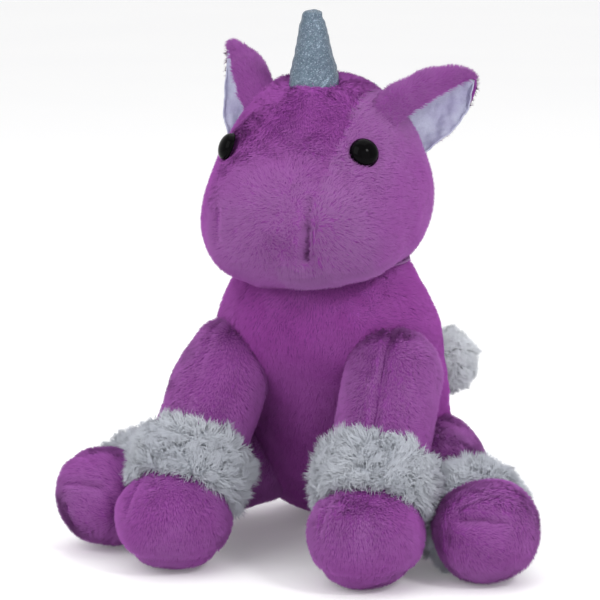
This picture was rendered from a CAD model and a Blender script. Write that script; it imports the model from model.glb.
"""Soft visual model of a sitting plush unicorn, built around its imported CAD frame.

Everything is in metres in the CAD's own frame: the toy faces -Y, +X is its left and the
floor is z = 0. Each padded part is a cloth skin with a short purple pile or a long white
fur made of separate strands.
"""
import math

import bpy
import numpy as np
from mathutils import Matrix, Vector
from mathutils.bvhtree import BVHTree
from mathutils.kdtree import KDTree


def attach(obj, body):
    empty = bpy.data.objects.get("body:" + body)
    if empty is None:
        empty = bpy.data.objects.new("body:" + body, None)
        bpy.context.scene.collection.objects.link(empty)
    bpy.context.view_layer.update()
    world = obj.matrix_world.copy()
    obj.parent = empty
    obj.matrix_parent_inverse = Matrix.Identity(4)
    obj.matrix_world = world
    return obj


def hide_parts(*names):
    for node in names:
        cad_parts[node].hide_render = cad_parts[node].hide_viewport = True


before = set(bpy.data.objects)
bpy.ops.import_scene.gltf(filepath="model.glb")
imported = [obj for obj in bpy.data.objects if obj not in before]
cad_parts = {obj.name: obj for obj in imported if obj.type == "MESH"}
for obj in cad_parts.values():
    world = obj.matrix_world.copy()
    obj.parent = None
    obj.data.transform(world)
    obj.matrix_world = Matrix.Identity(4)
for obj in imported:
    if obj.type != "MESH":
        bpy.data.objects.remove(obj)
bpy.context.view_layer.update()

SIDES = {"left": 1.0, "right": -1.0}

# ---- places in the frame, in metres ----
SHOULDER = np.array((0.0385, -0.075, 0.080))
FRONT_FOOT = np.array((0.0432, -0.124, 0.022))
HIP = np.array((0.042, -0.034, 0.032))
REAR_FOOT = np.array((0.0885, -0.102, 0.022))
NECK = np.array((0.0, -0.052, 0.106))
NECK_RADIUS = 0.042
HEAD_MIDDLE = np.array((0.0, -0.066, 0.154))
# where each eye sits and the way it faces; the right one has been pulled in further round the head
EYES = {"left": (np.array((0.0302, -0.0896, 0.1771)), np.array((0.56, -0.73, 0.38))),
        "right": (np.array((-0.0325, -0.0872, 0.1771)), np.array((-0.76, -0.54, 0.36)))}
HORN_FOOT = np.array((0.0, -0.068, 0.2035))
HORN_LEAN = math.radians(4)
EAR_ROOT = np.array((0.035, -0.050, 0.189))
EAR_ALONG = np.array((0.5235, 0.628, 0.576))
EAR_OPEN = np.array((0.824, -0.546, -0.154))
# torso outline: height, middle's y, half width, half depth
TORSO = np.array([
    (0.0, 0.0, 0.024, 0.019),
    (0.0025, -0.0005, 0.032, 0.027),
    (0.010, -0.005, 0.042, 0.037),
    (0.028, -0.015, 0.0485, 0.044),
    (0.054, -0.027, 0.049, 0.044),
    (0.082, -0.044, 0.0505, 0.044),
    (0.097, -0.049, 0.0515, 0.0435),
    (0.108, -0.052, 0.0465, 0.0415),
    (0.117, -0.052, 0.0415, 0.0405),
    (0.128, -0.052, 0.0355, 0.0355),
    (0.141, -0.052, 0.0225, 0.0225),
    (0.147, -0.052, 0.0085, 0.0085),
])
# forehead gusset: y and half width, from the muzzle to the nape
GUSSET_Y = (-0.124, -0.104, -0.084, -0.050, -0.002)
GUSSET_HALF = (0.016, 0.017, 0.020, 0.022, 0.013)
GUSSET_FLOOR = 0.132
# folds of the muzzle as seen from the front: two ends as x and z, depth, width
MUZZLE_CREASES = [
    ((0.0138, 0.1590), (0.0140, 0.1480), 0.0020, 0.0016),
    ((0.0140, 0.1480), (0.0134, 0.1350), 0.0044, 0.0018),
    ((-0.0290, 0.1520), (-0.0275, 0.1400), 0.0034, 0.0020),
]


# ---- small numerical helpers ----
def unit(v):
    v = np.asarray(v, float)
    return v / np.maximum(np.linalg.norm(v, axis=-1, keepdims=True), 1e-12)


def on_side(point, side):
    return np.asarray(point, float) * (side, 1.0, 1.0)


def dot(a, b):
    return np.sum(a * b, axis=-1)


def flat(vectors, normals):
    """The vectors without their part along the normals, at unit length."""
    return unit(vectors - dot(vectors, normals)[:, None] * normals)


def smooth_step(low, high, x):
    t = np.clip((x - low) / (high - low), 0, 1)
    return t * t * (3 - 2 * t)


def ripple(points, size, seed, waves=14):
    """Smooth random vectors, about -1 to 1, whose pattern repeats about every `size` metres."""
    rng = np.random.default_rng(seed)
    total = np.zeros((len(points), 3))
    for _ in range(waves):
        wave = unit(rng.normal(size=3)) * (2 * math.pi / size) * rng.uniform(0.6, 1.5)
        phase = points @ wave
        total += np.sin(phase[:, None] + rng.uniform(0, 2 * math.pi, 3)) * rng.normal(size=3)
    return total / math.sqrt(waves)


def near(points, centre, radius):
    """A round bump, 1 at the centre and fading out at about the radius."""
    away = np.linalg.norm(points - np.asarray(centre), axis=1)
    return np.exp(-2.5 * (away / radius) ** 2)


def segment_distance(points, a, b):
    """Distance of each point from the straight line between a and b."""
    a, b = np.asarray(a, float), np.asarray(b, float)
    t = np.clip((points - a) @ (b - a) / dot(b - a, b - a), 0, 1)
    return np.linalg.norm(points - a - t[:, None] * (b - a), axis=1)


# ---- meshes ----
def coordinates(obj):
    co = np.empty(len(obj.data.vertices) * 3, np.float32)
    obj.data.vertices.foreach_get("co", co)
    return co.reshape(-1, 3).astype(float)


def vertex_normals(obj):
    nor = np.empty(len(obj.data.vertices) * 3, np.float32)
    obj.data.vertex_normals.foreach_get("vector", nor)
    return nor.reshape(-1, 3).astype(float)


def move_to(obj, points):
    obj.data.vertices.foreach_set("co", np.asarray(points, np.float32).ravel())
    obj.data.update()


def triangles(mesh):
    mesh.calc_loop_triangles()
    tri = np.empty(len(mesh.loop_triangles) * 3, np.int32)
    mesh.loop_triangles.foreach_get("vertices", tri)
    return tri.reshape(-1, 3)


def mesh_object(name, points, faces):
    """A smooth object from points and faces that all have as many corners."""
    faces = np.asarray(faces, np.int32)
    mesh = bpy.data.meshes.new(name)
    mesh.vertices.add(len(points))
    mesh.vertices.foreach_set("co", np.asarray(points, np.float32).ravel())
    mesh.loops.add(faces.size)
    mesh.loops.foreach_set("vertex_index", faces.ravel())
    mesh.polygons.add(len(faces))
    mesh.polygons.foreach_set("loop_start", np.arange(len(faces), dtype=np.int32) * faces.shape[1])
    mesh.update(calc_edges=True)
    mesh.shade_smooth()
    obj = bpy.data.objects.new(name, mesh)
    bpy.context.scene.collection.objects.link(obj)
    return obj


def apply_modifiers(obj):
    bpy.context.view_layer.update()
    graph = bpy.context.evaluated_depsgraph_get()
    mesh = bpy.data.meshes.new_from_object(obj.evaluated_get(graph))
    obj.modifiers.clear()
    obj.data = mesh
    mesh.shade_smooth()
    return obj


def remeshed(obj, size):
    modifier = obj.modifiers.new("Remesh", "REMESH")
    modifier.mode = "VOXEL"
    modifier.voxel_size = size
    return apply_modifiers(obj)


def smoothed(obj, rounds, factor=0.5):
    modifier = obj.modifiers.new("Smooth", "SMOOTH")
    modifier.iterations = rounds
    modifier.factor = factor
    return apply_modifiers(obj)


def subdivided(obj, levels=1):
    modifier = obj.modifiers.new("Subdivision", "SUBSURF")
    modifier.levels = modifier.render_levels = levels
    return apply_modifiers(obj)


def gathered(name, nodes):
    """One object with the surfaces of several CAD nodes."""
    points, faces, start = [], [], 0
    for node in nodes:
        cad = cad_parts[node]
        points.append(coordinates(cad))
        faces.append(triangles(cad.data) + start)
        start += len(points[-1])
    return mesh_object(name, np.vstack(points), np.vstack(faces))


def joined(obj, other):
    """Adds the other object's faces to obj, and removes the other."""
    faces = np.vstack([triangles(obj.data), triangles(other.data) + len(obj.data.vertices)])
    points = np.vstack([coordinates(obj), coordinates(other)])
    name = obj.name
    bpy.data.objects.remove(other)
    bpy.data.objects.remove(obj)
    return mesh_object(name, points, faces)


def grid_faces(rows, columns, closed):
    """Faces of a grid whose points run along each row; closed joins each row's ends."""
    last = columns if closed else columns - 1
    i, j = np.meshgrid(np.arange(rows - 1), np.arange(last), indexing="ij")
    here, right = i * columns + j, i * columns + (j + 1) % columns
    return np.stack([here, right, right + columns, here + columns], -1).reshape(-1, 4)


def inflated(obj, seams, cap, pressure=4.0):
    """Blows the cloth skin up from inside with its seams held, and limits how far it moves."""
    start = coordinates(obj)
    held = obj.vertex_groups.new(name="seam")
    distance = seams(start)
    for index in np.nonzero(distance < 0.0035)[0]:
        held.add([int(index)], float(1 - distance[index] / 0.007), "REPLACE")
    modifier = obj.modifiers.new("Cloth", "CLOTH")
    cloth = modifier.settings
    cloth.quality = 6
    cloth.mass = 0.15
    cloth.tension_stiffness = cloth.compression_stiffness = 12
    cloth.shear_stiffness = 6
    cloth.bending_stiffness = 0.4
    cloth.use_pressure = True
    cloth.uniform_pressure_force = pressure
    cloth.effector_weights.gravity = 0
    cloth.vertex_group_mass = "seam"
    modifier.point_cache.frame_start, modifier.point_cache.frame_end = 1, 20
    for number in range(1, 21):
        bpy.context.scene.frame_set(number)
    graph = bpy.context.evaluated_depsgraph_get()
    blown = obj.evaluated_get(graph)
    end = np.empty(len(start) * 3, np.float32)
    blown.data.vertices.foreach_get("co", end)
    step = end.reshape(-1, 3).astype(float) - start
    length = np.linalg.norm(step, axis=1, keepdims=True)
    step *= np.minimum(1, cap / np.maximum(length, 1e-9))
    obj.modifiers.clear()
    obj.vertex_groups.clear()
    bpy.context.scene.frame_set(1)
    move_to(obj, start + step)
    return obj


def pushed(obj, amounts):
    """Moves each point along its normal by its amount, in metres."""
    move_to(obj, coordinates(obj) + vertex_normals(obj) * np.asarray(amounts)[:, None])
    return obj


def on_floor(obj, lowest=0.0004):
    points = coordinates(obj)
    points[:, 2] = np.maximum(points[:, 2], lowest)
    move_to(obj, points)
    return obj


def signed_distance(obj):
    """A function that tells how far points are outside the object; inside is negative."""
    tree = BVHTree.FromObject(obj, bpy.context.evaluated_depsgraph_get())

    def measure(points):
        result = np.empty(len(points))
        for index, point in enumerate(points):
            place, normal, _, away = tree.find_nearest(Vector(point))
            result[index] = away if (Vector(point) - place).dot(normal) > 0 else -away
        return result

    return measure


# ---- strands ----
def scattered(skin, count, rng):
    """Random points spread evenly over the skin, with their smooth normals."""
    points, normals, tri = coordinates(skin), vertex_normals(skin), triangles(skin.data)
    a, b, c = (points[tri[:, k]] for k in range(3))
    area = np.linalg.norm(np.cross(b - a, c - a), axis=1)
    pick = tri[rng.choice(len(tri), count, p=area / area.sum())]
    root, share = np.sqrt(rng.random(count)), rng.random(count)
    weights = np.stack([1 - root, root * (1 - share), root * share], 1)
    spots = np.einsum("ij,ijk->ik", weights, points[pick])
    return spots, unit(np.einsum("ij,ijk->ik", weights, normals[pick]))


def strands(name, spine, normals, widths, tone):
    """Tapering three-sided strands. spine is (rows, strands, 3) from root to tip."""
    rows, count = spine.shape[:2]
    along = unit(spine[-1] - spine[0])
    across = unit(np.cross(along, normals))
    over = np.cross(across, along)
    points, faces, heights, first = [], [], [], np.arange(count)
    for row in range(rows - 1):
        radius = (widths * (1 - 0.7 * row / (rows - 1)) / 2)[:, None]
        for turn in (math.pi / 2, math.pi * 7 / 6, math.pi * 11 / 6):
            points.append(spine[row] + (across * math.cos(turn) + over * math.sin(turn)) * radius)
        heights += [np.full(count, row / (rows - 1))] * 3
    points.append(spine[-1])
    heights.append(np.ones(count))
    tip = first + 3 * (rows - 1) * count
    for k in range(3):
        here, beside = first + k * count, first + (k + 1) % 3 * count
        for _ in range(rows - 2):
            up, beside_up = here + 3 * count, beside + 3 * count
            faces += [np.stack([beside, here, up], 1), np.stack([beside, up, beside_up], 1)]
            here, beside = up, beside_up
        faces.append(np.stack([beside, here, tip], 1))
    everything = np.vstack(points)
    everything[:, 2] = np.maximum(everything[:, 2], 0.0002)
    obj = mesh_object(name, everything, np.vstack(faces))
    height = np.concatenate(heights)
    repeats = 3 * rows - 2
    lift = np.tile(normals, (repeats, 1)) + 0.3 * height[:, None] * np.tile(along, (repeats, 1))
    for label, values in (("strand_height", height), ("strand_tone", np.tile(tone, repeats))):
        attribute = obj.data.attributes.new(label, "FLOAT", "POINT")
        attribute.data.foreach_set("value", values.astype(np.float32))
    obj.data.normals_split_custom_set_from_vertices(unit(lift).tolist())
    return obj


def skin_area(skin):
    return sum(face.area for face in skin.data.polygons)


def pile(name, skin, lay, seed, keep=None, density=4.2e6, length=0.0029, width=0.00042, upright=0.8):
    """Short plush pile, so many strands to the square metre, that bend over along the nap."""
    rng = np.random.default_rng(seed)
    root, normal = scattered(skin, int(density * skin_area(skin)), rng)
    if keep is not None:
        kept = keep(root)
        root, normal = root[kept], normal[kept]
    swirl = 0.5 * ripple(root, 0.045, seed + 1) + 0.25 * ripple(root, 0.010, seed + 2)
    stray = 0.28 * rng.normal(size=root.shape)
    nap = flat(lay(root) + swirl + stray, normal)
    rise = np.maximum(upright * (1 + 0.2 * ripple(root, 0.014, seed + 3)[:, :1]), 0.3)
    span = length * (0.7 + 0.5 * rng.random(len(root)))[:, None]
    way = unit(normal * rise + nap)
    spine = np.stack([root - normal * 0.0003, root + way * span])
    return strands(name, spine, normal, width * (0.8 + 0.4 * rng.random(len(root))), rng.random(len(root)))


def shag(name, skin, count, length, lay, seed, tuft=0.0036, keep=None, width=0.00042, spread=0.8):
    """Long fur whose strands lean together into loose tufts."""
    rng = np.random.default_rng(seed)
    root, normal = scattered(skin, count, rng)
    if keep is not None:
        kept = keep(root)
        root, normal = root[kept], normal[kept]
    heads, head_normals = scattered(skin, max(20, int(skin_area(skin) / tuft**2)), rng)
    way = unit(head_normals + lay(heads) + spread * (0.6 * rng.normal(size=heads.shape)
                                                     + 0.7 * ripple(heads, 0.02, seed + 1)))
    way = unit(way + head_normals * np.maximum(0.35 - dot(way, head_normals), 0)[:, None])
    tips = heads + way * (length * rng.uniform(0.7, 1.3, len(heads)))[:, None]
    tree = KDTree(len(heads))
    for index, head in enumerate(heads):
        tree.insert(head, index)
    tree.balance()
    mine = np.array([tree.find(point)[1] for point in root])
    free = unit(normal + lay(root) + 0.45 * rng.normal(size=root.shape))
    free = free * (length * rng.uniform(0.55, 1.05, len(root)))[:, None]
    pull = rng.uniform(0.1, 0.75, len(root))[:, None]
    tip = (root + free) * (1 - pull) + tips[mine] * pull
    knee = root + normal * length * 0.40 + (tip - root) * 0.2
    spine = np.stack([root - normal * 0.0005, root * 0.25 + knee * 0.5 + tip * 0.25, tip])
    tone = 0.7 * rng.random(len(root)) + 0.3 * rng.random(len(heads))[mine]
    return strands(name, spine, normal, width * (0.7 + 0.6 * rng.random(len(root))), tone)


# ---- materials ----
def new_material(name):
    material = bpy.data.materials.new(name)
    material.use_nodes = True
    return material, material.node_tree, material.node_tree.nodes["Principled BSDF"]


def node(tree, kind, **values):
    made = tree.nodes.new(kind)
    for key, value in values.items():
        if key in made.inputs:
            made.inputs[key].default_value = value
        else:
            setattr(made, key, value)
    return made


def noise(tree, where, scale, detail=3.0):
    made = node(tree, "ShaderNodeTexNoise", Scale=scale, Detail=detail)
    tree.links.new(where, made.inputs["Vector"])
    return made.outputs["Fac"]


def mixed(tree, factor, a, b, blend="MIX"):
    """A colour between a and b; each is a socket or an RGBA colour."""
    made = tree.nodes.new("ShaderNodeMix")
    made.data_type = "RGBA"
    made.blend_type = blend
    for socket, value in ((made.inputs[0], factor), (made.inputs[6], a), (made.inputs[7], b)):
        if isinstance(value, bpy.types.NodeSocket):
            tree.links.new(value, socket)
        else:
            socket.default_value = value
    return made.outputs[2]


def ranged(tree, value, low, high, to_low=0.0, to_high=1.0):
    made = tree.nodes.new("ShaderNodeMapRange")
    for key, number in (("From Min", low), ("From Max", high), ("To Min", to_low), ("To Max", to_high)):
        made.inputs[key].default_value = number
    tree.links.new(value, made.inputs["Value"])
    return made.outputs["Result"]


def bumped(tree, shader, height, strength, distance):
    made = node(tree, "ShaderNodeBump", Strength=strength, Distance=distance)
    tree.links.new(height, made.inputs["Height"])
    tree.links.new(made.outputs["Normal"], shader.inputs["Normal"])


def colour(red, green, blue):
    """An RGBA colour from sRGB numbers, 0 to 255."""
    def linear(c):
        c /= 255
        return c / 12.92 if c <= 0.04045 else ((c + 0.055) / 1.055) ** 2.4
    return (linear(red), linear(green), linear(blue), 1.0)


def fur_material(name, deep, main, pale, patch, strand, sheen=0.35, root_dark=0.7, fades=()):
    """Pile or fur. Broad patches vary between the main and the pale colour as the nap turns.
    Each fade is an axis, two places on it and the colour that the pile takes between them."""
    material, tree, shader = new_material(name)
    where = tree.nodes.new("ShaderNodeTexCoord").outputs["Object"]
    broad = ranged(tree, noise(tree, where, patch, 2.0), 0.32, 0.68)
    fine = ranged(tree, noise(tree, where, patch * 7, 3.0), 0.35, 0.65)
    shade = mixed(tree, broad, main, pale)
    shade = mixed(tree, ranged(tree, fine, 0, 1, 0.0, 0.16), shade, deep)
    for axis, start, end, tint in fades:
        place = tree.nodes.new("ShaderNodeSeparateXYZ")
        tree.links.new(where, place.inputs["Vector"])
        wander = tree.nodes.new("ShaderNodeMath")
        wander.operation = "MULTIPLY_ADD"
        tree.links.new(noise(tree, where, 60, 2.0), wander.inputs[0])
        wander.inputs[1].default_value = 0.016
        tree.links.new(place.outputs[axis], wander.inputs[2])
        share = ranged(tree, wander.outputs[0], start + 0.008, end + 0.008, 0.0, 0.9)
        shade = mixed(tree, share, shade, tint)
    if strand:
        tone = node(tree, "ShaderNodeAttribute", attribute_name="strand_tone").outputs["Fac"]
        shade = mixed(tree, ranged(tree, tone, 0, 1, 0.0, 0.25), shade, pale)
        height = node(tree, "ShaderNodeAttribute", attribute_name="strand_height").outputs["Fac"]
        root = ranged(tree, height, 0.0, 0.7, root_dark, 1.0)
        shade = mixed(tree, 1.0, shade, root, "MULTIPLY")
    tree.links.new(shade, shader.inputs["Base Color"])
    rough = ranged(tree, fine, 0, 1, 0.62, 0.85)
    tree.links.new(rough, shader.inputs["Roughness"])
    shader.inputs["Specular IOR Level"].default_value = 0.22
    shader.inputs["Sheen Weight"].default_value = sheen
    shader.inputs["Sheen Roughness"].default_value = 0.4
    shader.inputs["Sheen Tint"].default_value = pale
    if not strand:
        bumped(tree, shader, noise(tree, where, 900, 4.0), 0.6, 0.0008)
    return material


def glitter_material():
    """Silver-blue fabric covered in small flakes that each face their own way."""
    material, tree, shader = new_material("glitter_fabric")
    where = tree.nodes.new("ShaderNodeTexCoord").outputs["Object"]
    flakes = node(tree, "ShaderNodeTexVoronoi", Scale=2600.0)
    tree.links.new(where, flakes.inputs["Vector"])
    apart = node(tree, "ShaderNodeSeparateColor")
    tree.links.new(flakes.outputs["Color"], apart.inputs["Color"])
    cloud = noise(tree, where, 160, 4.0)
    base = mixed(tree, cloud, colour(58, 74, 90), colour(102, 112, 130))
    base = mixed(tree, ranged(tree, apart.outputs["Red"], 0.0, 1.0, 0.0, 0.6), base, colour(88, 112, 122))
    base = mixed(tree, ranged(tree, apart.outputs["Green"], 0.8, 0.97, 0.0, 0.7), base,
                 colour(150, 164, 178))
    tree.links.new(base, shader.inputs["Base Color"])
    tree.links.new(ranged(tree, apart.outputs["Blue"], 0, 1, 0.22, 0.6), shader.inputs["Roughness"])
    shader.inputs["Metallic"].default_value = 0.35
    bumped(tree, shader, apart.outputs["Blue"], 0.5, 0.0003)
    return material


def lining_material():
    """Thin brushed satin, white with a breath of lavender in its folds."""
    material, tree, shader = new_material("ear_lining")
    where = tree.nodes.new("ShaderNodeTexCoord").outputs["Object"]
    cloud = ranged(tree, noise(tree, where, 70, 3.0), 0.35, 0.65)
    shade = mixed(tree, cloud, colour(176, 178, 200), colour(150, 145, 178))
    grain = ranged(tree, noise(tree, where, 1600, 3.0), 0.3, 0.7, 0.0, 0.25)
    shade = mixed(tree, grain, shade, colour(120, 118, 150))
    tree.links.new(shade, shader.inputs["Base Color"])
    tree.links.new(ranged(tree, cloud, 0, 1, 0.45, 0.65), shader.inputs["Roughness"])
    shader.inputs["Sheen Weight"].default_value = 0.3
    bumped(tree, shader, noise(tree, where, 1400, 4.0), 0.35, 0.0004)
    return material


def eye_material():
    """Glossy black moulded plastic with faint scuffs."""
    material, tree, shader = new_material("eye_plastic")
    where = tree.nodes.new("ShaderNodeTexCoord").outputs["Object"]
    scuff = noise(tree, where, 700, 5.0)
    shade = mixed(tree, scuff, colour(2, 2, 2), colour(6, 5, 7))
    tree.links.new(shade, shader.inputs["Base Color"])
    tree.links.new(ranged(tree, scuff, 0.3, 0.8, 0.05, 0.12), shader.inputs["Roughness"])
    shader.inputs["Specular IOR Level"].default_value = 0.045
    return material


def thread_material():
    material, tree, shader = new_material("thread")
    where = tree.nodes.new("ShaderNodeTexCoord").outputs["Object"]
    twist = node(tree, "ShaderNodeTexWave", Scale=900.0, Distortion=2.0)
    tree.links.new(where, twist.inputs["Vector"])
    shade = mixed(tree, twist.outputs["Fac"], colour(96, 34, 104), colour(122, 50, 130))
    tree.links.new(shade, shader.inputs["Base Color"])
    tree.links.new(ranged(tree, twist.outputs["Fac"], 0, 1, 0.5, 0.7), shader.inputs["Roughness"])
    return material


DEEP, MAIN, PALE = colour(146, 66, 154), colour(164, 82, 171), colour(168, 102, 176)
MUZZLE = colour(160, 104, 168)
TO_MUZZLE = [("Y", -0.090, -0.114, MUZZLE)]
MATERIALS = {
    "skin": fur_material("plush_backing", colour(108, 46, 116), colour(134, 62, 142), DEEP, 22, False, 0.2),
    "gusset": fur_material("gusset_pile", DEEP, MAIN, MAIN, 26, True, root_dark=0.8, fades=TO_MUZZLE),
    "right_cheek": fur_material("right_cheek_pile", DEEP, MAIN, MAIN, 26, True, root_dark=0.8,
                                fades=TO_MUZZLE),
    "left_cheek": fur_material("left_cheek_pile", MAIN, PALE, MUZZLE, 22, True, 0.45,
                               fades=[*TO_MUZZLE, ("X", 0.036, 0.047, MAIN)]),
    "ear": fur_material("ear_pile", colour(132, 58, 140), colour(150, 72, 157), colour(152, 88, 160),
                        26, True, 0.25),
    "body": fur_material("body_pile", DEEP, MAIN, PALE, 24, True),
    "torso": fur_material("torso_pile", colour(142, 56, 147), colour(162, 71, 167), colour(168, 86, 174),
                          24, True, 0.22, 0.76),
    "white": fur_material("white_fur", colour(176, 181, 191), colour(190, 194, 204), colour(202, 206, 214),
                          40, True, 0.2, 0.86),
    "tail": fur_material("tail_fur", colour(206, 210, 219), colour(220, 224, 231), colour(230, 233, 238),
                         40, True, 0.2, 0.88),
    "white_skin": fur_material("white_backing", colour(160, 166, 178), colour(184, 189, 198),
                               colour(196, 200, 208), 40, False, 0.2),
    "lining": lining_material(),
    "horn": glitter_material(),
    "eye": eye_material(),
    "thread": thread_material(),
}


def dressed(obj, material, body, slot, *nodes):
    """Gives the piece its material, the body it rides on, its slot and the CAD nodes it stands for."""
    obj.data.materials.clear()
    obj.data.materials.append(MATERIALS[material])
    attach(obj, body)
    if nodes:
        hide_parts(*nodes)
    return obj


# ---- torso ----
def torso_ring(section, angles):
    z, y, across, deep = section
    return np.stack([across * np.cos(angles), y + deep * np.sin(angles), np.full(len(angles), z)], 1)


def make_torso():
    """The body under its pile: side seams, a back seam, and dimples where the legs are sewn on."""
    angles = np.linspace(0, 2 * math.pi, 96, endpoint=False)
    heights = np.concatenate([np.linspace(0, 0.03, 12), np.linspace(0.034, 0.147, 34)])
    columns = [np.interp(heights, TORSO[:, 0], TORSO[:, k]) for k in range(1, 4)]
    rings = [torso_ring((z, *rest), angles) for z, *rest in zip(heights, *columns)]
    points = np.vstack(rings + [[(0, 0, 0)], [(0, NECK[1], 0.148)]])
    faces = grid_faces(len(rings), len(angles), True)
    skin = mesh_object("torso_skin", points, faces)
    skin = closed_ends(skin, len(rings), len(angles))
    skin = smoothed(remeshed(skin, 0.004), 6)

    def seams(p):
        side = np.abs(p[:, 1] + 0.015)
        back = np.where(p[:, 1] > -0.015, np.abs(p[:, 0]), 1.0)
        return np.minimum(side, back)

    pushed(skin, np.full(len(skin.data.vertices), -0.0016))
    inflated(skin, seams, 0.0018)
    subdivided(skin)
    p = coordinates(skin)
    press = -0.0012 * np.exp(-(seams(p) / 0.0016) ** 2)
    press += 0.0005 * ripple(p, 0.05, 3)[:, 0]
    pushed(skin, press)
    return on_floor(skin)


def closed_ends(obj, rows, columns):
    """Joins the first and last rings to the two end points that follow them."""
    first, last = np.arange(columns), np.arange(columns) + (rows - 1) * columns
    low, high = rows * columns, rows * columns + 1
    fans = [np.stack([np.full(columns, low), np.roll(first, -1), first], 1),
            np.stack([np.full(columns, high), last, np.roll(last, -1)], 1)]
    old = coordinates(obj)
    quads = np.array([p.vertices[:] for p in obj.data.polygons])
    tri = np.vstack([quads[:, [0, 1, 2]], quads[:, [0, 2, 3]], *fans])
    name = obj.name
    bpy.data.objects.remove(obj)
    return mesh_object(name, old, tri)


# ---- head ----
def gusset_half(y):
    return np.interp(y, GUSSET_Y, GUSSET_HALF)


def head_seams(p):
    """Distance from the gusset's two edges, its lower end and the seam under the chin."""
    high = p[:, 2] > GUSSET_FLOOR
    edge = np.abs(np.abs(p[:, 0]) - gusset_half(p[:, 1]))
    across = np.abs(p[:, 0])
    inside = (across < gusset_half(p[:, 1])) & (p[:, 1] < -0.09)
    end = np.where(inside, np.abs(p[:, 2] - GUSSET_FLOOR), 1.0)
    return np.minimum(np.where(high, edge, across), end)


def muzzle_distance(p, a, b):
    """Distance from a fold of the muzzle, seen from the front; far away behind the muzzle."""
    front = segment_distance(p * (1, 0, 1), (a[0], 0, a[1]), (b[0], 0, b[1]))
    return front + np.where(p[:, 1] > -0.095, 1.0, 0.0)


def make_head():
    nodes = ["head_gusset", "head_left_panel", "head_right_panel", "head_stuffing"]
    skin = gathered("head_skin", nodes)
    axis = np.array((0, -math.sin(HORN_LEAN), math.cos(HORN_LEAN)))
    plug = lathe("horn_plug", [(0, -0.0105), (0.0125, -0.0105), (0.0125, -0.0012), (0, -0.0008)],
                 HORN_FOOT, axis)
    skin = smoothed(remeshed(joined(skin, plug), 0.004), 4)
    pushed(skin, np.full(len(skin.data.vertices), -0.0013))
    inflated(skin, head_seams, 0.002)
    subdivided(skin)
    p = coordinates(skin)
    behind = smooth_step(-0.108, -0.094, p[:, 1])
    press = -0.0007 * behind * np.exp(-(head_seams(p) / 0.0017) ** 2)
    for a, b, depth, width in MUZZLE_CREASES:
        press -= depth * np.exp(-(muzzle_distance(p, a, b) / width) ** 2)
    press -= 0.0030 * np.exp(-(muzzle_distance(p, (0.0130, 0.1350), (0.0126, 0.1340)) / 0.0035) ** 2)
    press += 0.0040 * near(p, HORN_FOOT + (0, -0.006, -0.003), 0.034)
    press += 0.0016 * near(p, (0.0260, -0.1080, 0.1500), 0.016)
    press += 0.0014 * near(p, (-0.0060, -0.1180, 0.1480), 0.016)
    for seat, _ in EYES.values():
        press -= 0.0012 * near(p, seat, 0.011)
    horn = np.linalg.norm(p[:, :2] - HORN_FOOT[:2], axis=1)
    top = smooth_step(0.185, 0.195, p[:, 2])
    press -= 0.0010 * top * np.exp(-((horn - 0.012) / 0.004) ** 2)
    press += 0.0006 * ripple(p, 0.035, 5)[:, 0]
    return pushed(skin, press)


def head_lay(p):
    """The nap runs back and down over the cheeks, and outwards from the nose."""
    out = unit(p - (0, -0.125, 0.150))
    down = np.array((0.0, 0.35, -0.9))
    muzzle = smooth_step(-0.090, -0.112, p[:, 1])[:, None]
    return unit(down * (1 - 0.7 * muzzle) + out * (0.35 + 0.6 * muzzle))


def gusset_lay(p):
    """Forwards over the crown, then out from the nose like the cheeks."""
    muzzle = smooth_step(-0.092, -0.110, p[:, 1])[:, None]
    return unit(np.array((0.25, -0.75, -0.45)) * (1 - muzzle) + head_lay(p) * muzzle)


def right_lay(p):
    """Follows the gusset along its edge, so that this seam hardly shows."""
    away = smooth_step(-0.026, -0.044, p[:, 0])[:, None]
    return unit(gusset_lay(p) * (1 - away) + head_lay(p) * away)


def dress_head(skin):

    def clear(p):
        free = np.ones(len(p), bool)
        for seat, _ in EYES.values():
            free &= segment_distance(p, seat, HEAD_MIDDLE) > 0.0055
        axis = np.array((0, -math.sin(HORN_LEAN), math.cos(HORN_LEAN)))
        free &= segment_distance(p, HORN_FOOT - axis * 0.02, HORN_FOOT + axis * 0.02) > 0.0104
        for a, b, depth, _ in MUZZLE_CREASES:
            free &= muzzle_distance(p, a, b) > 0.2 * depth
        free &= np.linalg.norm(p - NECK, axis=1) > NECK_RADIUS + 0.002
        return free

    def on_gusset(p):
        edge = gusset_half(p[:, 1]) + 0.0008 * ripple(p, 0.004, 9)[:, 0]
        return clear(p) & (np.abs(p[:, 0]) < edge) & (p[:, 2] > GUSSET_FLOOR)

    def on_cheek(side):
        def test(p):
            return clear(p) & ~on_gusset(p) & (p[:, 0] * side > 0)
        return test

    gusset = pile("head_gusset_pile", skin, gusset_lay, 11, on_gusset)
    dressed(gusset, "gusset", "head", "face_plush")
    for name, side in SIDES.items():
        lay = head_lay if side > 0 else right_lay
        cheek = pile(f"head_{name}_pile", skin, lay, 12 + int(side), on_cheek(side))
        dressed(cheek, f"{name}_cheek", "head", "face_plush")
    dressed(skin, "skin", "head", "face_plush",
            "head_gusset", "head_left_panel", "head_right_panel", "head_stuffing")


# ---- eyes and horn ----
def lathe(name, profile, origin, axis, turns=72):
    """A turned shape from (radius, height) pairs; the last pair lies on the axis."""
    axis = unit(axis)
    side = unit(np.cross(axis, (0.3, 1.0, 0.2)))
    other = np.cross(axis, side)
    angles = np.linspace(0, 2 * math.pi, turns, endpoint=False)
    circle = side * np.cos(angles)[:, None] + other * np.sin(angles)[:, None]
    rings = [origin + axis * h + circle * max(r, 1e-5) for r, h in profile]
    return mesh_object(name, np.vstack(rings), grid_faces(len(profile), turns, True))


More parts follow.
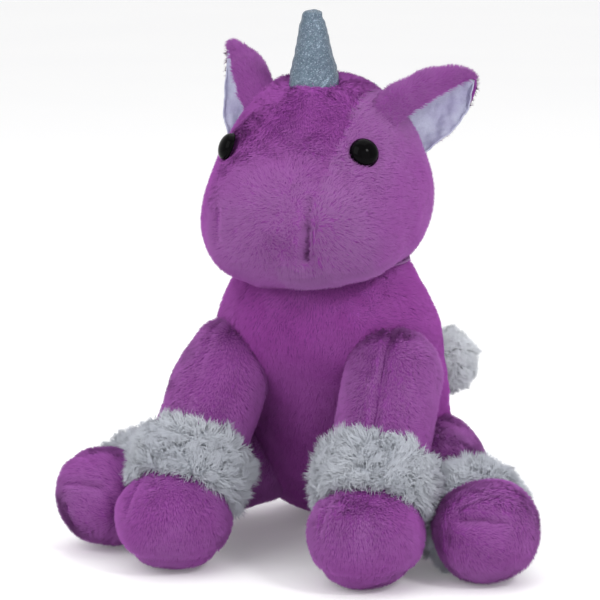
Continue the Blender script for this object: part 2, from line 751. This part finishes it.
def make_eyes():
    """Domed safety eyes with a thin rim that beds into the pile."""
    for name, (seat, facing) in EYES.items():
        bend = np.linspace(0, math.pi / 2, 14)
        dome = [(0.0060 * math.cos(a), 0.0036 * math.sin(a)) for a in bend]
        profile = [(0.0052, -0.0010), (0.0062, -0.0008), (0.0064, -0.0003), *dome]
        eye = lathe(f"{name}_eye_dome", profile, seat, facing, 64)
        dressed(eye, "eye", "head", "eye_plastic", f"{name}_eye")


def make_horn():
    """A tapered fabric tube, pinched flat at its tip, with soft dents and a seam at the back."""
    axis = np.array((0, -math.sin(HORN_LEAN), math.cos(HORN_LEAN)))
    heights = np.linspace(-0.006, 0.029, 44)
    radii = np.interp(heights, (-0.006, 0, 0.010, 0.020, 0.029), (0.0110, 0.0112, 0.0089, 0.0066, 0.0049))
    tip = [(0.0049 * math.cos(a), 0.029 + 0.0032 * math.sin(a) ** 0.7)
           for a in np.linspace(0.15, math.pi / 2, 9)]
    horn = lathe("horn_glitter_cover", [*zip(radii, heights), *tip], HORN_FOOT, axis, 120)
    p = coordinates(horn)
    along = (p - HORN_FOOT) @ axis
    around = np.arctan2(p[:, 1] - HORN_FOOT[1], p[:, 0])
    press = 0.00035 * ripple(p, 0.012, 21)[:, 0] + 0.00015 * ripple(p, 0.004, 22)[:, 1]
    press -= 0.0005 * np.exp(-((around - 1.4) / 0.09) ** 2)
    press -= 0.0006 * np.exp(-((along - 0.028) / 0.0015) ** 2) * (0.5 + 0.5 * np.sin(around * 5))
    pushed(horn, press)
    subdivided(horn)
    dressed(horn, "horn", "head", "glitter_fabric", "horn_cover", "horn_stuffing")


# ---- ears ----
EAR_TIP = {"left": 0.0090, "right": -0.0040}  # how far each tip flops towards the ear's lower edge
EAR_TWIST = {"left": 0.0, "right": math.radians(27)}  # how far each mouth turns forwards
EAR_POINTED = {"left": 0.0, "right": 0.3}  # how much narrower each tip is than a round one
EAR_LENGTH = {"left": 0.0385, "right": 0.0415}


def ear_point(s, turn, inset, label):
    """A point of the folded ear. s runs from root to tip; turn goes round from the lower edge,
    behind the ear and over its upper edge, to the free edge of the front flap."""
    half = np.interp(s, (-0.6, 0, 0.39, 0.57, 0.77, 0.88, 0.95, 0.985, 1.0),
                     (0.0170, 0.0190, 0.0176, 0.0155, 0.0120, 0.0085, 0.0055, 0.0030, 0.0006))
    half = half * (1 - EAR_POINTED[label] * smooth_step(0.3, 0.9, s))
    half = np.maximum(half - inset, 0.0003)
    deep = np.maximum(0.50 * half, 0.0003)
    lower = unit(np.cross(EAR_ALONG, EAR_OPEN))
    twist = EAR_TWIST[label]
    opening = EAR_OPEN * math.cos(twist) - lower * math.sin(twist)
    across = np.cross(EAR_ALONG, opening)
    reach = EAR_LENGTH[label] * s - inset * smooth_step(0.6, 1.0, s)
    shift = np.interp(s, (-0.25, 0, 1), (0.002, 0.0025, EAR_TIP[label]))
    return (EAR_ROOT + EAR_ALONG * reach[:, None] + opening * 0.002
            + across * (shift + half * np.sin(turn))[:, None] - opening * (deep * np.cos(turn))[:, None])


def ear_sheet(name, label, side, inset, start, stop, head_gap):
    """The shell or its lining, cut off where it would lie deep inside the head."""
    rows, columns = 72, 84
    share, along = np.meshgrid(np.linspace(0, 1, columns), np.linspace(-0.6, 1.0, rows))
    turn = np.radians(start + (stop - start) * share)
    points = ear_point(along.ravel(), turn.ravel(), inset, label) * (side, 1, 1)
    faces = np.asarray(grid_faces(rows, columns, False))
    faces = faces[head_gap(points)[faces].max(axis=1) > -0.0035]
    used, renumbered = np.unique(faces.ravel(), return_inverse=True)
    sheet = mesh_object(name, points[used], renumbered.reshape(faces.shape))
    middle = on_side(EAR_ROOT + EAR_ALONG * 0.015, side)
    if dot(vertex_normals(sheet), coordinates(sheet) - middle).mean() < 0:
        sheet.data.flip_normals()
    return sheet


def make_ears():
    head_gap = signed_distance(HEAD_SKIN)
    for name, side in SIDES.items():
        shell = ear_sheet(f"{name}_ear_skin", name, side, 0.0, -152, 74, head_gap)
        lining = ear_sheet(f"{name}_ear_lining_skin", name, side, 0.0010, -150, 94, head_gap)
        folds = ripple(coordinates(lining), 0.013, 31)[:, 0]
        folds += 0.4 * ripple(coordinates(lining), 0.005, 32)[:, 1]
        pushed(lining, -0.0011 * np.abs(folds))
        lay = on_side(EAR_ALONG * 0.9 + (0, 0, -0.3), side)

        def outside_head(q):
            return head_gap(q) > -0.0035

        def along_ear(q, lay=lay):
            return np.tile(lay, (len(q), 1))

        fur = pile(f"{name}_ear_pile", shell, along_ear, 41 + int(side), outside_head,
                   5.0e6, 0.0026, 0.0004)
        for sheet in (shell, lining):
            modifier = sheet.modifiers.new("Solidify", "SOLIDIFY")
            modifier.thickness = 0.0008
            modifier.offset = -1
            apply_modifiers(sheet)
        dressed(fur, "ear", f"{name}_ear", "body_plush")
        dressed(shell, "skin", f"{name}_ear", "body_plush", f"{name}_ear_outer")
        dressed(lining, "lining", f"{name}_ear", "ear_lining", f"{name}_ear_lining")


# ---- legs ----
def leg_parts(name):
    return [f"{name}_{part}" for part in
            ("leg_outer_panel", "leg_inner_panel", "foot_cover", "sole", "leg_stuffing")]


def make_leg(name, root, foot, cuff, seam_side, foot_seam, creases, seed, sag=(0, 0, 0)):
    """One leg: padded skin, purple pile above and below the cuff, and the white fur cuff.
    sag is how far the foot has settled to one side of where it was sewn."""
    along = unit(foot - root)
    side = unit(np.cross((0, 0, 1), along)) * np.sign(root[0])
    skin = smoothed(remeshed(gathered(f"{name}_skin", leg_parts(name) + [f"{name}_cuff"]), 0.0035), 3)

    def settle(obj):
        points = coordinates(obj)
        share = smooth_step(0.015, 0.055, (points - root) @ along)[:, None]
        move_to(obj, points + share * np.asarray(sag))
        return on_floor(obj)

    def distance(p):
        split = np.where((p - root) @ along < cuff[0], np.abs((p - root) @ side), 1.0)
        return np.minimum(split, foot_seam(p))

    pushed(skin, np.full(len(skin.data.vertices), -0.0016))
    inflated(skin, distance, 0.0016)
    subdivided(skin)
    p = coordinates(skin)
    press = -0.0011 * np.exp(-(foot_seam(p) / 0.0015) ** 2)
    split = np.where((p - root) @ along < cuff[0], np.abs((p - root) @ side), 1.0)
    press -= seam_side * np.exp(-(split / 0.0014) ** 2)
    for a, b, depth, width in creases:
        press -= depth * np.exp(-(segment_distance(p, a, b) / width) ** 2)
    press += 0.0004 * ripple(p, 0.03, seed)[:, 0]
    press -= 0.0024 * smooth_step(-0.004, 0.003, (p - root) @ along - cuff[0]) * smooth_step(
        0.004, -0.003, (p - root) @ along - cuff[1])
    settle(pushed(skin, press))
    inside = signed_distance(TORSO_SKIN)

    def clear(q):
        reach = (q - root) @ along
        open_place = (reach < cuff[0] + 0.003) | (reach > cuff[1] - 0.003)
        seam = (reach < cuff[0]) & (np.abs((q - root) @ side) < 0.25 * seam_side)
        for a, b, depth, width in creases:
            if width < 0.004:
                seam |= segment_distance(q, a, b) < 0.25 * depth
        free = np.zeros(len(q), bool)
        chosen = np.nonzero(open_place & ~seam)[0]
        free[chosen] = inside(q[chosen]) > -0.009
        return free

    def lay(q):
        return np.tile(along * 0.8 + np.array((0, 0, -0.35)), (len(q), 1))

    fur = pile(f"{name}_pile", skin, lay, seed, clear)
    dressed(fur, "body", f"{name}_leg", "body_plush")
    dressed(skin, "skin", f"{name}_leg", "body_plush", *leg_parts(name))

    band = smoothed(remeshed(gathered(f"{name}_cuff_band", [f"{name}_cuff"]), 0.0022), 4)
    pushed(band, np.full(len(band.data.vertices), -0.0006))

    def outer_side(q):
        sewn = q - np.asarray(sag)
        reach = (sewn - root) @ along
        axis_gap = np.linalg.norm(sewn - root - reach[:, None] * along, axis=1)
        return axis_gap > 0.0175

    def down(q):
        return np.tile(np.array((0, 0, -0.1)), (len(q), 1))

    settle(band)
    fur = shag(f"{name}_cuff_fur", band, 22000, 0.0080, down, seed + 5, keep=outer_side)
    dressed(fur, "white", f"{name}_leg", "white_fur")
    dressed(band, "white_skin", f"{name}_leg", "white_fur", f"{name}_cuff")


def make_legs():
    for name, side in SIDES.items():
        root, foot = on_side(SHOULDER, side), on_side(FRONT_FOOT, side)

        def sole_edge(p):
            return np.abs(p[:, 2] - 0.009) + np.where(p[:, 1] > -0.085, 1.0, 0.0)

        shift = -0.0125
        line = foot + np.array((shift, -0.010, 0.018)), foot + np.array((shift - 0.001, -0.024, 0.004))
        creases = [(*line, 0.0036, 0.0020)]
        if side < 0:
            creases.append(((-0.057, -0.088, 0.095), (-0.057, -0.062, 0.097), 0.0045, 0.011))
            creases.append(((-0.0340, -0.0960, 0.0960), (-0.0330, -0.0985, 0.0890), 0.0045, 0.0020))
        make_leg(f"{name}_front", root, foot, (0.040, 0.065), 0.0022 if side > 0 else 0.0008,
                 sole_edge, creases, 51 + int(side))
        root, foot = on_side(HIP, side), on_side(REAR_FOOT, side)
        along = unit(foot - root)

        def ring_edge(p, foot=foot, along=along):
            return np.abs((p - foot) @ along - 0.007)

        pinch = [(0.0807 * side, -0.1213, 0.0305), (0.092 * side, -0.1217, 0.032),
                 (0.103 * side, -0.117, 0.0306)]
        creases = [(pinch[0], pinch[1], 0.0042, 0.0020), (pinch[1], pinch[2], 0.0042, 0.0020)]
        sag = (0, 0, 0) if side > 0 else (0.0045, -0.001, 0.0012)
        make_leg(f"{name}_rear", root, foot, (0.054, 0.072), 0.0010, ring_edge, creases,
                 61 + int(side), sag)


# ---- torso pile, tail, mane ----
def dress_torso(skin):
    def clear(p):
        free = np.linalg.norm(p - NECK, axis=1) + np.where(p[:, 2] > 0.118, 0, 1) > NECK_RADIUS + 0.0001
        for side in SIDES.values():
            free &= np.linalg.norm(p - on_side(SHOULDER, side), axis=1) > 0.0185
            free &= np.linalg.norm(p - on_side(HIP, side), axis=1) > 0.0215
        return (p[:, 2] > 0.003) & free | ((p[:, 2] > 0.118) & (p[:, 2] < 0.132))

    def lay(p):
        return np.tile((0.0, 0.05, -1.0), (len(p), 1))

    def front(side):
        return lambda p: clear(p) & (p[:, 1] < -0.015) & (p[:, 0] * side >= 0)

    def back(p):
        return clear(p) & (p[:, 1] >= -0.015)

    for name, side in SIDES.items():
        belly = pile(f"torso_belly_{name}_pile", skin, lay, 71 + 5 * int(side), front(side))
        dressed(belly, "torso", "torso", "body_plush")
    dressed(pile("torso_back_pile", skin, lay, 72, back), "torso", "torso", "body_plush")
    dressed(skin, "skin", "torso", "body_plush", "torso_belly_panel", "torso_back_left_panel",
            "torso_back_right_panel", "torso_stuffing")


def make_tail():
    core = smoothed(remeshed(gathered("tail_skin", ["tail_fur", "tail_core"]), 0.002), 3)
    pushed(core, np.full(len(core.data.vertices), -0.003))

    def lay(p):
        return np.tile((0.1, 0.1, -0.3), (len(p), 1))

    fur = shag("tail_long_fur", core, 21000, 0.0085, lay, 81)
    dressed(fur, "tail", "tail", "white_fur")
    dressed(core, "white_skin", "tail", "white_fur", "tail_fur", "tail_core")


def make_mane():
    strip = smoothed(remeshed(gathered("mane_backing", ["mane"]), 0.002), 3)
    pushed(strip, np.full(len(strip.data.vertices), -0.0008))

    def lay(p):
        return np.tile((0.0, 0.35, -0.75), (len(p), 1))

    def behind_crown(p):
        return p[:, 1] > -0.0085

    fur = shag("mane_long_fur", strip, 21000, 0.0065, lay, 91, keep=behind_crown)
    dressed(fur, "white", "head", "white_fur")
    top = shag("mane_short_fur", strip, 21000, 0.0034, lay, 95, keep=lambda p: ~behind_crown(p))
    dressed(top, "white", "head", "white_fur")
    dressed(strip, "white_skin", "head", "white_fur", "mane")


TORSO_SKIN = make_torso()
HEAD_SKIN = make_head()
make_legs()
make_ears()
make_eyes()
make_horn()
make_tail()
make_mane()
dress_torso(TORSO_SKIN)
dress_head(HEAD_SKIN)
for hidden in ("left_eye_washer", "right_eye_washer"):
    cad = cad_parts[hidden]
    cad.data.materials.clear()
    cad.data.materials.append(MATERIALS["eye"])
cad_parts["neck_seam_thread"].data.materials.clear()
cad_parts["neck_seam_thread"].data.materials.append(MATERIALS["thread"])


# ---- floor, light and camera ----
def make_stage():
    """A wide pale floor, light from all round, three soft lamps and a small one for the eyes' glint."""
    reach = np.linspace(-20, 20, 9)
    points = np.array([(x, y, 0.0) for x in reach for y in reach])
    floor = mesh_object("floor", points, grid_faces(len(reach), len(reach), False))
    if floor.data.polygons[0].normal.z < 0:
        floor.data.flip_normals()
    material, tree, shader = new_material("floor_paper")
    where = tree.nodes.new("ShaderNodeTexCoord").outputs["Object"]
    shade = mixed(tree, noise(tree, where, 3.0), (0.90, 0.90, 0.91, 1), (0.94, 0.94, 0.94, 1))
    tree.links.new(shade, shader.inputs["Base Color"])
    shader.inputs["Roughness"].default_value = 0.9
    shader.inputs["Emission Color"].default_value = (1, 1, 1, 1)
    shader.inputs["Emission Strength"].default_value = 0.12
    floor.data.materials.append(material)

    world = bpy.data.worlds.new("studio")
    world.use_nodes = True
    world.node_tree.nodes["Background"].inputs["Color"].default_value = (1, 1, 1, 1)
    world.node_tree.nodes["Background"].inputs["Strength"].default_value = 0.88
    bpy.context.scene.world = world
    lamps = (("key", (-0.45, -1.0, 0.85), 1.0, 6.0), ("fill", (0.9, -0.9, 0.5), 1.0, 1.2),
             ("top", (0.0, 0.2, 1.2), 1.2, 4.0), ("glint", (0.949, -0.601, 0.941), 0.25, 5.0))
    for name, place, size, power in lamps:
        data = bpy.data.lights.new(name, "AREA")
        data.size, data.energy = size, power
        lamp = bpy.data.objects.new(name, data)
        lamp.location = place
        aim = Vector((0, -0.06, 0.1)) - Vector(place)
        lamp.rotation_euler = aim.to_track_quat("-Z", "Y").to_euler()
        bpy.context.scene.collection.objects.link(lamp)


def make_camera():
    azimuth, elevation, away = math.radians(20), math.radians(9.3), 1.2
    target = Vector((-0.0152, -0.0440, 0.1049))
    back = Vector((math.sin(azimuth) * math.cos(elevation), -math.cos(azimuth) * math.cos(elevation),
                   math.sin(elevation)))
    data = bpy.data.cameras.new("camera")
    data.sensor_width, data.lens = 36, 161.76
    camera = bpy.data.objects.new("camera", data)
    camera.location = target + back * away
    camera.rotation_euler = (-back).to_track_quat("-Z", "Y").to_euler()
    bpy.context.scene.collection.objects.link(camera)
    bpy.context.scene.camera = camera


make_stage()
make_camera()
bpy.context.scene.view_settings.view_transform = "Standard"
